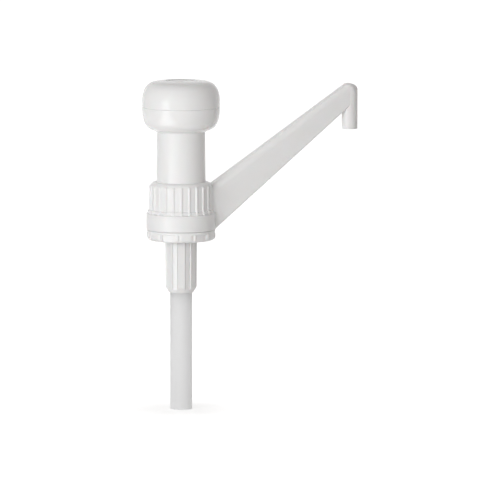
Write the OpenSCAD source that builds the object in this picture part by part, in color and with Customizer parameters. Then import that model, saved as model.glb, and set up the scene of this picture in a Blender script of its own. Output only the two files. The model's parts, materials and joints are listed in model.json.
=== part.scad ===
// Bottle dispenser pump: a canister pump with a push knob, a fixed tower that is the pump
// cylinder, a long rising arm with a down-turned nozzle, and a screw closure.
// Millimetres, +Z up, +X toward the nozzle. The origin is the centre of the neck rim's seat.

/* [Closure] */
// Bore of the closure, over the canister's 45 mm thread
thread_d = 45.6; // [44:0.2:47]
// Depth of the closure below the neck seat
thread_depth = 17.8; // [15:0.1:22]
// Outer diameter of the castellated grip band
band_d = 52.5; // [51.5:0.1:54]
// Number of raised pads round the grip band
pad_count = 6; // [4:1:9]
// Depth of the recesses between the pads
pad_depth = 1.1; // [0.5:0.1:1.6]
// Thickness of the neck gasket
gasket_t = 2; // [1.5:0.1:3]

/* [Collar] */
// Outer diameter of the flange skirt
flange_d = 53.5; // [53:0.1:56]
// Diameter of the collar between its ribs
collar_d = 47.4; // [46.5:0.1:48.5]
// Height of the collar's top above the neck seat
collar_h = 27.3; // [26:0.1:32]
// Drop of the skirt below the neck seat
skirt_drop = 9.5; // [8:0.1:11]
// Number of ribs round a full collar
rib_count = 24; // [16:2:32]
// Height of a rib
rib_h = 0.7; // [0.4:0.1:1]

/* [Cylinder] */
// Outer diameter of the tower where it leaves the collar
tower_d = 37.8; // [37:0.1:38.6]
// Moulding draft of the tower, degrees a side
tower_draft = 0.6; // [0.3:0.1:0.8]
// Bore of the pump cylinder
bore_d = 33; // [31:0.1:33.4]
// Length of tower that shows between collar and knob
tower_show = 38.8; // [37:0.1:44]

/* [Plunger] */
// Working stroke
stroke = 30; // [20:0.5:30]
// Diameter of the knob
knob_d = 59.9; // [57:0.1:64]
// Wall of the knob's two halves
knob_wall = 2.4; // [2:0.1:2.8]
// Diameter of the piston rod
rod_d = 12; // [10:0.1:14]
// Wire of the return spring
wire_d = 1.3; // [1:0.1:1.4]

/* [Inlet] */
// Diameter over the flutes of the inlet housing, at its flange
housing_d = 24.6; // [24:0.1:26]
// Length of the inlet housing below the neck seat
housing_len = 58.3; // [56:0.1:66]
// Number of flutes
flute_count = 7; // [4:1:9]
// Diameter of the inlet ball
inlet_ball_d = 13; // [11:0.1:14]
// Lift of the inlet ball
inlet_lift = 4; // [3:0.1:5]
// Outer diameter of the dip tube
tube_d = 17; // [16:0.1:17.4]
// Wall of the dip tube
tube_wall = 1.75; // [1.2:0.05:2]
// Length of dip tube that shows below the housing
tube_show = 90.7; // [40:0.1:300]

/* [Spout] */
// Distance from the pump's axis to the nozzle's axis
reach = 135.3; // [110:0.1:170]
// Outer diameter of the nozzle
nozzle_d = 12.2; // [12:0.1:13.6]
// Bore of the nozzle
nozzle_bore = 8.2; // [6:0.1:8.6]
// Length of nozzle that shows below the arm
nozzle_show = 14.2; // [8:0.1:20]
// Thickness of the arm at its root
arm_w = 15.6; // [15:0.1:17]
// Wall of the arm
arm_wall = 1.8; // [1.6:0.1:2]
// Rise of the arm's upper edge, degrees
arm_up = 34.5; // [33.5:0.1:36]
// Rise of the arm's lower edge, degrees
arm_low = 40.3; // [39:0.1:41]
// Diameter of the outlet ball
outlet_ball_d = 7.2; // [6.8:0.1:7.4]
// Lift of the outlet ball
outlet_lift = 2.5; // [2:0.1:2.6]

/* [Hidden] */
$fn = 72;

// Clearances: parts that stay put, the piston in its bore, and parts that turn or slip past
seat_fit = 0.05;
run_fit = 0.05;
slip = 0.3;
// A ball hangs this far off its seat, so that the solids never bite
ball_gap = 0.2;
// Cuts reach this far past a face
past = 1;

// Closure and skirt
thread_r = thread_d / 2;
sleeve_r = thread_r + 1.4;
lock_r = sleeve_r + 0.6;
band_r = band_d / 2;
band_round = 3;
flange_r = flange_d / 2;
skirt_r = lock_r + slip;
band_top = -skirt_drop - slip;
rim_h = 2;
catch_z = -2.4;
pad_phase = 25;
gasket_bore = thread_r - 4.8;

// Collar
collar_r = collar_d / 2;
collar_wall = 1.7;
shoulder = 3.9;
web_t = 2.5;
rib_r = 1;
arm_ribs = 20;

// Base plate, which carries cylinder and collar
deck_t = 3;
deck_z = gasket_t + deck_t;
deck_r = 24;
rib_z = deck_z + slip;
flange_top = deck_z - 2;
flare_top = deck_z + 1.2;
plug_h = 7;
plug_z = deck_z + plug_h;
cage_z = deck_z + 1;
cage_t = 3;
cage_r = 11.5;

// Outlet through the cylinder wall
port_r = 3.2;
outlet_r = port_r + 1.2;
port_z = plug_z + port_r + slip;
ring_r = 0.85;
face_x = tower_d / 2 - 0.6;
seal_x = face_x + ring_r;
port_cut = 10;

// Cylinder and plunger heights
bore_r = bore_d / 2;
tower_r = tower_d / 2;
piston_z = port_z + port_r + slip + stroke;
piston_h = 6.8;
cup_t = 1.5;
cup_h = 3.3;
stub_h = 10;
piston_top = piston_z + piston_h;
hub_z = piston_top + ball_gap;
hub_h = 3;
guide_z = hub_z + hub_h;
guide_h = 4;
guide_top = guide_z + guide_h;
knob_z = collar_h + tower_show;
rod_r = rod_d / 2;
rod_bore = rod_r - 2.2;
boss_z = guide_top + stroke + 0.5;

// Knob: arcs from the straight side up to the crown and down to the lip
knob_r = knob_d / 2;
bowl_hole = tower_d / 2 + slip;
overhang = knob_r - bowl_hole;
down_r = 2.977 * overhang;
down_a = 17;
bowl_r = 0.949 * overhang;
bowl_a = 78;
bowl_rise = 1.05;
side_low = bowl_rise + (down_r - bowl_r) * sin(down_a) + bowl_r * sin(bowl_a);
split = side_low + 1.6;
side_top = split + 5.4;
up_r = 19.6;
up_a = 28;
crown_r = 9.4;
crown_a = 80;
dome_r = 49;
up_x = knob_r - up_r;
crown_x = up_x + (up_r - crown_r) * cos(up_a);
crown_z = side_top + (up_r - crown_r) * sin(up_a);
dome_x = crown_x + (crown_r - dome_r) * cos(crown_a);
dome_z = crown_z + (crown_r - dome_r) * sin(crown_a);
knob_h = dome_z + dome_r;
ceiling = knob_h - knob_wall;
down_x = knob_r - down_r;
bowl_x = down_x + (down_r - bowl_r) * cos(down_a);
bowl_z = side_low - (down_r - bowl_r) * sin(down_a);
tower_top = knob_z + ceiling - stroke - 1.5;
tower_top_r = tower_r - (tower_top - collar_h) * tan(tower_draft);
lip_r = knob_r - knob_wall - 0.15;
dish_d = 0.6;

// Spring
spring_r = 10;
spring_z = cage_z + cage_t;
recess_h = 4;
spring_top = piston_z + recess_h;
coils = 8;
ring_n = 8;
side_n = 6;

// Inlet housing
housing_r = housing_d / 2;
housing_draft = 0.3;
flute_depth = 1.3;
chamber_r = 9.3;
throat_r = 4.2;
socket_h = 20;
tube_r = tube_d / 2;
throat_z = socket_h - housing_len;
cone_z = throat_z + 2;
inlet_r = inlet_ball_d / 2;
inlet_z = cone_z - throat_r + inlet_r * sqrt(2) + ball_gap;
stop_z = inlet_z + inlet_r + inlet_lift + 0.1;
tube_end = -housing_len - tube_show;
flute_phase = -2;

// Arm
nozzle_r = nozzle_d / 2;
root_x = 24.5;
root_top = 25.4;
root_low = -10.2;
tip_w = nozzle_d - 0.3;
edge_r = 5;
nozzle_z = low_z(reach - nozzle_r) - nozzle_show;
dome_tip = nozzle_r + 0.8;
tip_x = reach - 0.5;
tip_z = up_z(tip_x) - dome_tip / cos(arm_up);
stack_in = 15.5;
stack_x = root_x + stack_in;
stack_r = arm_w / 2 - arm_wall - 0.5;
ball_r = outlet_ball_d / 2;
gullet_r = 2.4;
gullet_z = port_z + port_r + 1;
stack_z = port_z - outlet_r - 0.3;
ball_z = gullet_z - gullet_r + ball_r * sqrt(2) + ball_gap;
bar_z = ball_z + ball_r + outlet_lift + 0.1;
bar_t = 1.2;

// Points of an arc round (x, y), from angle a to angle b
function arc(x, y, r, a, b, n = 8) =
    [for (i = [0:n]) [x + r * cos(a + (b - a) * i / n), y + r * sin(a + (b - a) * i / n)]];

// Height of the arm's upper and lower edge, and its half thickness, at a distance from the axis
function up_z(x) = root_top + (x - root_x) * tan(arm_up);
function low_z(x) = root_low + (x - root_x) * tan(arm_low);
function half_w(x) = arm_w / 2 + (tip_w - arm_w) / 2 * (x - root_x) / (reach - root_x);

// Outer profile of the knob's upper and lower half, moved inward by w
function crown(w) = concat(
    arc(up_x, side_top, up_r - w, 0, up_a),
    arc(crown_x, crown_z, crown_r - w, up_a, crown_a),
    arc(dome_x, dome_z, dome_r - w, crown_a, 90, 4));
function bowl(w) = concat(
    arc(down_x, side_low, down_r - w, 0, -down_a),
    arc(bowl_x, bowl_z, bowl_r - w, -down_a, -bowl_a));

// Outer profile of the collar without ribs, grown by g
function collar_side(g) = concat(
    [[flange_r + g, -skirt_drop + 0.4], [flange_r + g, flange_top - 0.5]],
    [[flange_r - 0.3 + g, flange_top], [collar_r + g, flare_top]],
    arc(collar_r - shoulder, collar_h - shoulder, shoulder + g, 0, 90));

// Centre line of the spring: a closed turn at each end, and an even pitch between
end_pitch = wire_d + 0.5;
rise = spring_top - spring_z - wire_d - 2 * seat_fit;
pitch = (rise - 2 * end_pitch) / (coils - 2);
function coil_z(t) = spring_z + wire_d / 2 + seat_fit
    + min(t, 1) * end_pitch
    + max(min(t, coils - 1) - 1, 0) * pitch
    + max(t - coils + 1, 0) * end_pitch;
function coil_at(t) = [spring_r * cos(360 * t), spring_r * sin(360 * t), coil_z(t)];
turns = [for (i = [0:coils * ring_n]) i / ring_n];
self_gap = min([for (a = turns, b = turns) if (b - a > 0.6) norm(coil_at(a) - coil_at(b)) - wire_d]);
echo(str("return_spring least gap to itself: ", self_gap, " mm"));

// A solid of revolution from a profile of [radius, height] points
module turn(profile) {
    rotate_extrude()
        polygon(profile);
}

// A plain ring
module ring(outer, inner, h) {
    difference() {
        cylinder(r = outer, h = h);
        translate([0, 0, -past])
            cylinder(r = inner, h = h + 2 * past);
    }
}

// A cylinder along +X from x, at height z
module along_x(r, x, length, z) {
    translate([x, 0, z])
        rotate([0, 90, 0])
            cylinder(r = r, h = length);
}

// A flat shape in the arm's plane, wider than the arm
module upright() {
    translate([0, arm_w, 0])
        rotate([90, 0, 0])
            linear_extrude(2 * arm_w)
                children();
}

// A bar along the arm's upper edge, with rounded upper corners, moved inward by w
module rounded_bar(w) {
    half = arm_w / 2;
    deep = 2 * reach;
    translate([0, 0, up_z(0)])
        rotate([0, 90 - arm_up, 0])
            linear_extrude(2 * reach)
                polygon(concat(
                    [[deep, w - half], [deep, half - w]],
                    arc(edge_r, half - edge_r, edge_r - w, 90, 180, 6),
                    arc(edge_r, edge_r - half, edge_r - w, 180, 270, 6)));
}

// A sector of a ring-shaped profile
module sector(profile, angle, at) {
    rotate([0, 0, at - angle / 2])
        rotate_extrude(angle = angle)
            polygon(profile);
}

// Screw ring: sleeve with a locking bead inside the skirt, grip band with raised pads below it
module closure_ring() {
    low = -thread_depth;
    share = 180 / pad_count;
    color("white")
        difference() {
            turn(concat(
                [[thread_r, low + 0.5], [thread_r + 0.4, low]],
                arc(band_r - band_round, low + band_round, band_round, -90, 0),
                [[band_r, band_top - 0.4], [band_r - 0.4, band_top], [sleeve_r, band_top]],
                [[sleeve_r, catch_z + slip], [lock_r, catch_z + slip + 0.5], [lock_r, -0.7]],
                [[sleeve_r, 0], [thread_r, 0]]));
            for (i = [0:pad_count - 1])
                sector([[band_r - pad_depth, low - past], [band_r + past, low - past],
                    [band_r + past, band_top - rim_h], [band_r - pad_depth, band_top - rim_h]],
                    share, pad_phase + share + i * 2 * share);
        }
}

// Flat gasket between the housing's deck and the neck rim
module neck_gasket() {
    color("dimgray")
        ring(thread_r - slip, gasket_bore, gasket_t);
}

// Ribbed collar and skirt: snaps over the deck, and hooks under the closure's bead
module collar_body() {
    inner = collar_r - collar_wall;
    web = collar_h - web_t;
    color("white")
        difference() {
            union() {
                turn(concat(
                    [[skirt_r, -skirt_drop], [flange_r - 0.4, -skirt_drop]],
                    collar_side(0),
                    [[tower_r + seat_fit, collar_h], [tower_r + seat_fit, web], [inner, web]],
                    [[inner, deck_z], [deck_r + seat_fit, deck_z]],
                    [[deck_r + seat_fit, gasket_t - seat_fit], [deck_r - 0.4, gasket_t - 0.2]],
                    [[deck_r - 0.4, gasket_t - 0.8], [skirt_r, gasket_t - 1.5]],
                    [[skirt_r, catch_z + 0.3], [sleeve_r + slip, catch_z]],
                    [[sleeve_r + slip, catch_z - 1.6], [skirt_r, catch_z - 2.2]]));
                intersection() {
                    for (i = [0:rib_count - 1])
                        if (abs((i * 360 / rib_count + 180) % 360 - 180) > arm_ribs)
                            rotate([0, 0, i * 360 / rib_count])
                                translate([collar_r + rib_h - rib_r, 0, deck_z])
                                    cylinder(r = rib_r, h = collar_h, $fn = 32);
                    turn([[collar_r - 1, rib_z], [collar_r + 2, rib_z],
                        [collar_r + 2, collar_h - shoulder - 2.4],
                        [collar_r + rib_h, collar_h - shoulder - 1.2],
                        [collar_r - 0.6, collar_h - shoulder + 1.4],
                        [collar_r - 1, collar_h - shoulder + 1.4]]);
                }
            }
            along_x(outlet_r + seat_fit, inner - 3, port_cut, port_z);
        }
}

// Tower: pump cylinder with a foot, a shoulder under the collar's web, and the outlet port
module pump_cylinder() {
    web = collar_h - web_t - seat_fit;
    guide_r = bore_r + 0.7;
    color("white")
        difference() {
            turn([[bore_r, deck_z + seat_fit], [collar_r - collar_wall - 0.1, deck_z + seat_fit],
                [collar_r - collar_wall - 0.1, deck_z + 3], [tower_r, deck_z + 3],
                [tower_r, web - 2.4], [tower_r + 2, web - 2.4], [tower_r + 2, web],
                [tower_r, web], [tower_r, collar_h], [tower_top_r, tower_top - 0.4],
                [tower_top_r - 0.4, tower_top], [guide_r, tower_top], [guide_r, guide_z],
                [bore_r, guide_z]]);
            along_x(outlet_r + seat_fit, bore_r - 3, port_cut, port_z);
            along_x(outlet_r + 2 * ring_r + 0.2, face_x, port_cut, port_z);
        }
}

// Outer shape of the arm: a wedge closed by the round nozzle end, which its top strap curls over
module arm_outside() {
    near = root_x - 8;
    past_tip = reach + 2 * nozzle_r;
    high = 2 * reach;
    intersection() {
        union() {
            intersection() {
                translate([0, 0, -housing_len])
                    linear_extrude(high)
                        polygon([[near, -half_w(near)], [reach, -half_w(reach)],
                            [reach, half_w(reach)], [near, half_w(near)]]);
                upright()
                    polygon([[0, low_z(0)], [past_tip, low_z(past_tip)], [past_tip, high], [0, high]]);
            }
            translate([reach, 0, nozzle_z])
                cylinder(r = nozzle_r, h = high);
        }
        upright()
            polygon(concat(
                [[0, -housing_len], [past_tip, -housing_len], [past_tip, tip_z]],
                arc(tip_x, tip_z, dome_tip, 0, 90 + arm_up, 14),
                [[0, up_z(0)]]));
        rounded_bar(0);
    }
}

// Hollow arm with nozzle: its open root is closed by the collar's wall
module spout_arm() {
    end = reach - nozzle_bore / 2 + 0.6;
    start = root_x - 10;
    color("white")
        difference() {
            arm_outside();
            intersection() {
                upright()
                    polygon([[start, low_z(start) + arm_wall / cos(arm_low)],
                        [end, low_z(end) + arm_wall / cos(arm_low)],
                        [end, 2 * reach], [start, 2 * reach]]);
                rounded_bar(arm_wall);
                translate([0, 0, -housing_len])
                    linear_extrude(3 * reach)
                        polygon([[start, arm_wall - half_w(start)], [end, arm_wall - half_w(end)],
                            [end, half_w(end) - arm_wall], [start, half_w(start) - arm_wall]]);
            }
            translate([reach, 0, nozzle_z - past])
                cylinder(r = nozzle_bore / 2, h = tip_z + 2.5 - nozzle_z + past);
            turn(concat([[0, -housing_len], [flange_r + seat_fit, -housing_len]],
                collar_side(seat_fit), [[0, collar_h + seat_fit]]));
        }
}

// Tube through the cylinder wall and the collar, with a flange behind its seal
module outlet_tube() {
    x = bore_r + 0.1;
    end = stack_x - stack_r + 2.8;
    color("gainsboro")
        difference() {
            union() {
                along_x(outlet_r, x, end - x, port_z);
                along_x(outlet_r + 2 * ring_r, seal_x + ring_r + seat_fit, 0.8, port_z);
            }
            along_x(port_r, x - past, end - x + 2 * past, port_z);
        }
}

// Upright valve seat on the tube's end, with a bar that keeps the ball in
module outlet_valve_seat() {
    cup_r = stack_r - 1;
    cone_h = cup_r - gullet_r;
    color("gainsboro")
        translate([stack_x, 0, 0])
            union() {
                difference() {
                    translate([0, 0, stack_z])
                        cylinder(r = stack_r, h = bar_z + bar_t - stack_z);
                    translate([0, 0, stack_z + 1.5])
                        cylinder(r = port_r, h = gullet_z - 0.6 - stack_z - 1.5);
                    translate([0, 0, gullet_z - past])
                        cylinder(r = gullet_r, h = 2 * past);
                    translate([0, 0, gullet_z])
                        cylinder(r1 = gullet_r, r2 = cup_r, h = cone_h);
                    translate([0, 0, gullet_z + cone_h])
                        cylinder(r = cup_r, h = bar_z + bar_t);
                    along_x(outlet_r + seat_fit, -stack_r - past, past + 2.9, port_z);
                    along_x(port_r, -stack_r, stack_r, port_z);
                }
                translate([-1, -cup_r - 0.3, bar_z])
                    cube([2, 2 * cup_r + 0.6, bar_t]);
            }
}

// O-ring between the cylinder's spot face and the outlet tube's flange
module outlet_seal() {
    color("dimgray")
        translate([seal_x + seat_fit / 2, 0, port_z])
            rotate([0, 90, 0])
                rotate_extrude()
                    translate([outlet_r + ring_r + seat_fit / 2, 0])
                        circle(r = ring_r - seat_fit / 2, $fn = 32);
}

// Base plate: deck under the cylinder, plug in its bore with a groove for the O-ring
module base_plate() {
    groove = plug_z - 5;
    groove_h = 2.4;
    groove_d = 1.9;
    color("white")
        turn([[housing_r + seat_fit, gasket_t], [deck_r, gasket_t], [deck_r, deck_z],
            [bore_r - seat_fit, deck_z], [bore_r - seat_fit, groove],
            [bore_r - groove_d, groove], [bore_r - groove_d, groove + groove_h],
            [bore_r - seat_fit, groove + groove_h], [bore_r - seat_fit, plug_z - 0.5],
            [bore_r - 0.6, plug_z], [cage_r + seat_fit, plug_z], [cage_r + seat_fit, cage_z],
            [housing_r + seat_fit, cage_z]]);
}

// Inlet housing: fluted spigot with the ball's chamber, pushed up into the base plate
module inlet_housing() {
    low = -housing_len;
    low_r = housing_r - housing_draft;
    share = 180 / flute_count;
    color("white")
        difference() {
            turn([[throat_r, throat_z], [tube_r + seat_fit, throat_z], [tube_r + seat_fit, low],
                [low_r - 2.6, low], [low_r, low + 4.2], [housing_r, gasket_t - 1],
                [housing_r, cage_z - seat_fit], [chamber_r, cage_z - seat_fit],
                [chamber_r, cone_z + chamber_r - throat_r], [throat_r, cone_z]]);
            for (i = [0:flute_count - 1])
                sector([[housing_r - flute_depth, low - past], [housing_r + past, low - past],
                    [housing_r + past, gasket_t - 2.2], [housing_r - flute_depth, gasket_t - 3]],
                    share, flute_phase + share + i * 2 * share);
        }
}

// O-ring of the base plate's plug
module housing_seal() {
    cord = 0.9;
    color("dimgray")
        translate([0, 0, plug_z - 3.8])
            rotate_extrude()
                translate([bore_r - 0.95, 0])
                    circle(r = cord, $fn = 32);
}

// Spider that seats the spring, with a stem that stops the inlet ball
module inlet_cage() {
    spoke = 2.4;
    color("gainsboro")
        union() {
            translate([0, 0, cage_z])
                ring(cage_r, cage_r - 3.6, cage_t);
            for (a = [0, 90])
                rotate([0, 0, a])
                    translate([-cage_r + 2, -spoke / 2, cage_z])
                        cube([2 * cage_r - 4, spoke, cage_t]);
            translate([0, 0, stop_z])
                cylinder(r = 2.2, h = cage_z + 1 - stop_z);
            translate([0, 0, stop_z])
                cylinder(r = 4, h = 2);
        }
}

// Dip tube
module dip_tube() {
    color("gainsboro")
        translate([0, 0, tube_end])
            ring(tube_r, tube_r - tube_wall, throat_z - seat_fit - tube_end);
}

// Cap in the tower's mouth: guides the rod, stops the piston, breathes through four holes
module guide_cap() {
    edge = bore_r + 0.7 - seat_fit;
    bore = rod_r + run_fit;
    vent_r = 1.75;
    color("gainsboro")
        difference() {
            turn([[bore, hub_z], [rod_r + 3, hub_z], [rod_r + 3, guide_z + seat_fit],
                [edge, guide_z + seat_fit], [edge, tower_top - 0.4], [edge - 1.4, tower_top - 0.4],
                [edge - 1.4, guide_z + 3], [rod_r + 3, guide_z + 3], [rod_r + 3, guide_top],
                [bore, guide_top]]);
            for (a = [45:90:315])
                rotate([0, 0, a])
                    translate([(rod_r + bore_r) / 2 + 1.5, 0, hub_z])
                        cylinder(r = vent_r, h = 10, $fn = 32);
        }
}

// Return spring: one unbroken helical tube of triangles
module return_spring() {
    lead = 360 / side_n;
    last = coils * ring_n;
    points = [for (i = [0:last], k = [0:side_n - 1])
        let (t = i / ring_n, r = spring_r + wire_d / 2 * cos(k * lead))
        [r * cos(360 * t), r * sin(360 * t), coil_z(t) + wire_d / 2 * sin(k * lead)]];
    sides = [for (i = [0:last - 1], k = [0:side_n - 1], h = [0, 1])
        let (a = i * side_n + k, b = i * side_n + (k + 1) % side_n)
        h == 0 ? [a, a + side_n, b + side_n] : [a, b + side_n, b]];
    ends = [for (k = [1:side_n - 2], h = [0, 1])
        h == 0 ? [0, k, k + 1]
            : [last * side_n, last * side_n + k + 1, last * side_n + k]];
    color("silver")
        polyhedron(points = points, faces = concat(sides, ends));
}

// Upper half of the knob: dished crown, boss for the rod, lip that snaps into the bowl
module knob_cap() {
    flat = dome_x;
    color("white")
        translate([0, 0, knob_z])
            union() {
                turn(concat(
                    [[lip_r - 1.5, split - 4], [lip_r, split - 4], [lip_r, split]],
                    [[knob_r - 0.25, split], [knob_r, split + 0.25]],
                    crown(0),
                    [[flat - 0.8, knob_h - dish_d], [0, knob_h - dish_d]],
                    [[0, ceiling]],
                    [for (i = [20:-1:0]) crown(knob_wall)[i]],
                    [[knob_r - knob_wall, split + 2.5], [lip_r - 1.5, split + 1]]));
                translate([0, 0, boss_z - knob_z])
                    ring(rod_r + 3, rod_r + seat_fit, ceiling + 0.4 - boss_z + knob_z);
            }
}

// Lower half of the knob, which slides down over the tower
module knob_bowl() {
    color("white")
        translate([0, 0, knob_z])
            turn(concat(
                [[knob_r - knob_wall, split], [knob_r - 0.25, split], [knob_r, split - 0.25]],
                bowl(0),
                [[bowl_hole + 0.4, 0], [bowl_hole, 0.4], [bowl_hole, knob_wall + 0.5]],
                [for (i = [17:-1:0]) bowl(knob_wall)[i]]));
}

// Hollow rod from the knob's boss to the piston
module piston_rod() {
    z = piston_top + seat_fit;
    color("gainsboro")
        translate([0, 0, z])
            ring(rod_r, rod_bore, knob_z + ceiling - seat_fit - z);
}

// Piston: plate, hub for the cup, spring recess and stub into the rod
module piston() {
    hub_r = spring_r + 2.8;
    color("gainsboro")
        turn([[0, spring_top], [hub_r - 1.8, spring_top], [hub_r - 1.8, piston_z],
            [hub_r, piston_z], [hub_r, spring_top - 0.2], [bore_r - 0.4, spring_top - 0.2],
            [bore_r - 0.4, piston_top], [rod_bore - seat_fit, piston_top],
            [rod_bore - seat_fit, piston_top + stub_h], [0, piston_top + stub_h]]);
}

// Lip seal, running in the bore
module piston_cup() {
    inner = spring_r + 2.8 + seat_fit;
    lip = bore_r - run_fit;
    top = spring_top - 0.2 - seat_fit;
    color("dimgray")
        turn([[inner, top - cup_t], [lip - 1.7, top - cup_t], [lip - 0.6, top - cup_h],
            [lip, top - cup_h], [lip, top - cup_h + 1], [lip - 0.6, top], [inner, top]]);
}

// Ring that keeps the cup on the hub
module piston_clip() {
    inner = spring_r + 2.8 + seat_fit;
    top = spring_top - 0.2 - cup_t - 2 * seat_fit;
    color("silver")
        translate([0, 0, piston_z + 0.2])
            ring(inner + 1.6, inner, top - piston_z - 0.2);
}

// Inlet check ball
module inlet_ball() {
    color("silver")
        translate([0, 0, inlet_z])
            sphere(r = inlet_r);
}

// Outlet check ball
module outlet_ball() {
    color("silver")
        translate([stack_x, 0, ball_z])
            sphere(r = ball_r);
}

closure_ring();
neck_gasket();
collar_body();
pump_cylinder();
spout_arm();
outlet_tube();
outlet_valve_seat();
outlet_seal();
base_plate();
inlet_housing();
housing_seal();
inlet_cage();
dip_tube();
guide_cap();
return_spring();
knob_cap();
knob_bowl();
piston_rod();
piston();
piston_cup();
piston_clip();
inlet_ball();
outlet_ball();
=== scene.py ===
# %% [markdown]
# A canister pump in white plastic: a push knob on a fixed tower, a ribbed collar with a long
# rising arm, a screw ring for the canister's neck, a fluted inlet and a milky dip tube.
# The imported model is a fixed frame. Every piece made here is in metres in that frame, so it
# goes where the solid it stands for already is, and nothing has to be fitted by eye.
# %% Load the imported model
import json
import math

import bmesh
import bpy
import numpy as np
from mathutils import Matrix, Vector


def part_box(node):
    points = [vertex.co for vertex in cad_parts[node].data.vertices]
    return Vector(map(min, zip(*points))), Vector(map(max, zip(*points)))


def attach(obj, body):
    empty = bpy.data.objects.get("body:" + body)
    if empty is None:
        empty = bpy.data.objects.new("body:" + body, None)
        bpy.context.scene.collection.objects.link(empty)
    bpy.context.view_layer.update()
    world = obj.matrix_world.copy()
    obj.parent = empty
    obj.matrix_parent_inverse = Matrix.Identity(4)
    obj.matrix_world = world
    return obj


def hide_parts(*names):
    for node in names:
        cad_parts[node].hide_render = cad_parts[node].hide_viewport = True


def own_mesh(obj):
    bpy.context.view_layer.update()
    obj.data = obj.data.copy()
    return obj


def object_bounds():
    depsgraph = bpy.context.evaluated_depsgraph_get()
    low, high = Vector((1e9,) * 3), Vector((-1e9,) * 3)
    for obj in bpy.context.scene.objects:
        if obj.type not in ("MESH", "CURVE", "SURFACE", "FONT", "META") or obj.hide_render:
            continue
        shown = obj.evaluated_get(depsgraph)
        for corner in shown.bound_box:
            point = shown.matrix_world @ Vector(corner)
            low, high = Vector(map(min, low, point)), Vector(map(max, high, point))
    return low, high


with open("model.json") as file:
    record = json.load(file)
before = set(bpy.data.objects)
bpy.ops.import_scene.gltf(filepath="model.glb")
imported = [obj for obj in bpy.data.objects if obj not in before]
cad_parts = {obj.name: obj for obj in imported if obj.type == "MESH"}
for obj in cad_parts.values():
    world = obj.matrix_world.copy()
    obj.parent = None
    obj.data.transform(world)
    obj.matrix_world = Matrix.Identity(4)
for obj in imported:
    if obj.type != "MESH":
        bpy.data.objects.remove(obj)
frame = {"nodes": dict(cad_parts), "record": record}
MM = 0.001
cad_low, cad_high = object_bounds()
scene = bpy.context.scene
scene.view_settings.view_transform = "Standard"
print("box of the solids in mm:", [round(v / MM, 1) for v in (*cad_low, *cad_high)])

# %% [markdown]
# The photograph looks a little down on the pump and a little past its front, so that the arm
# runs away from the camera. A long lens keeps the tower's sides parallel. The picture's scale
# is known from the flange, and so is the place of the pump's axis in it, which fixes the point
# that the camera aims at. A lens shift would do the same, but would stay in every other view.
# %% Camera
AZIMUTH = math.radians(-16)
ELEVATION = math.radians(6.5)
PICTURE = 480
PIXELS_PER_METRE = 1298.7
SEAT_AT = (181.1, 216.75)
DISTANCE = 8

back = Vector((math.sin(AZIMUTH) * math.cos(ELEVATION),
               -math.cos(AZIMUTH) * math.cos(ELEVATION),
               math.sin(ELEVATION)))
right = Vector((math.cos(AZIMUTH), math.sin(AZIMUTH), 0))
upward = back.cross(right)
aim = (right * (PICTURE / 2 - SEAT_AT[0]) - upward * (PICTURE / 2 - SEAT_AT[1])) / PIXELS_PER_METRE

lens = bpy.data.cameras.new("camera")
lens.sensor_width = 36
lens.lens = PIXELS_PER_METRE * DISTANCE * lens.sensor_width / PICTURE
lens.clip_end = 50
camera = bpy.data.objects.new("camera", lens)
camera.location = aim + back * DISTANCE
camera.rotation_mode = "QUATERNION"
camera.rotation_quaternion = (-back).to_track_quat("-Z", "Y")
scene.collection.objects.link(camera)
scene.camera = camera
print("lens", round(lens.lens), "mm, aimed at", [round(v / MM, 1) for v in aim])

# %% [markdown]
# Shader nodes are easier to read as sums than as a tangle of calls. This class wraps one output
# socket. Python's operators on it add Math nodes, and its one method adds any other node from a
# type, its settings and its inputs. A colour or a vector goes through a Mix or Vector Math node
# instead, because a Math node would turn it grey.
# %% Sockets as Python values
class Wire:
    """An output socket of a node tree. With no socket it only stands for the tree."""

    def __init__(self, tree, socket=None):
        self.tree = tree
        self.socket = socket

    def node(self, kind, settings=None, inputs=None, out=0):
        made = self.tree.nodes.new(kind)
        for key, value in (settings or {}).items():
            if key == "stops":
                ramp = made.color_ramp.elements
                while len(ramp) < len(value):
                    ramp.new(0.5)
                for stop, (place, colour) in zip(ramp, value):
                    stop.position = place
                    stop.color = colour
            else:
                setattr(made, key, value)
        for key, value in (inputs or {}).items():
            if isinstance(value, Wire):
                self.tree.links.new(value.socket, made.inputs[key])
            else:
                made.inputs[key].default_value = value
        return Wire(self.tree, made.outputs[out]) if len(made.outputs) else None

    def maths(self, operation, first, second):
        return self.node("ShaderNodeMath", {"operation": operation}, {0: first, 1: second})

    def __add__(self, other):
        return self.maths("ADD", self, other)

    def __sub__(self, other):
        return self.maths("SUBTRACT", self, other)

    def __rsub__(self, other):
        return self.maths("SUBTRACT", other, self)

    def __mul__(self, other):
        return self.maths("MULTIPLY", self, other)

    __radd__ = __add__
    __rmul__ = __mul__


def new_tree(owner):
    """The owner's empty node tree, as a Wire that stands for the whole tree."""
    owner.use_nodes = True
    owner.node_tree.nodes.clear()
    return Wire(owner.node_tree)


def in_mm(tree, stretch=(1, 1, 1)):
    """The place on the object in millimetres, stretched along the axes."""
    place = tree.node("ShaderNodeTexCoord", out="Object")
    return tree.node("ShaderNodeVectorMath", {"operation": "MULTIPLY"},
                     {0: place, 1: [s / MM for s in stretch]})


def noise(tree, place, size, detail=2.0, roughness=0.5):
    """Cloudy noise whose lumps are about size millimetres across, from 0 to 1."""
    return tree.node("ShaderNodeTexNoise", None,
                     {"Vector": place, "Scale": 1 / size, "Detail": detail, "Roughness": roughness})


def between(tree, low, high, share):
    """A colour between two colours."""
    return tree.node("ShaderNodeMix", {"data_type": "RGBA"},
                     {"Factor": share, "A": (*low, 1), "B": (*high, 1)}, out="Result")


def swing(wire, low, high):
    """A value that runs from low to high as the wire runs from 0 to 1."""
    return wire * (high - low) + low


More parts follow.
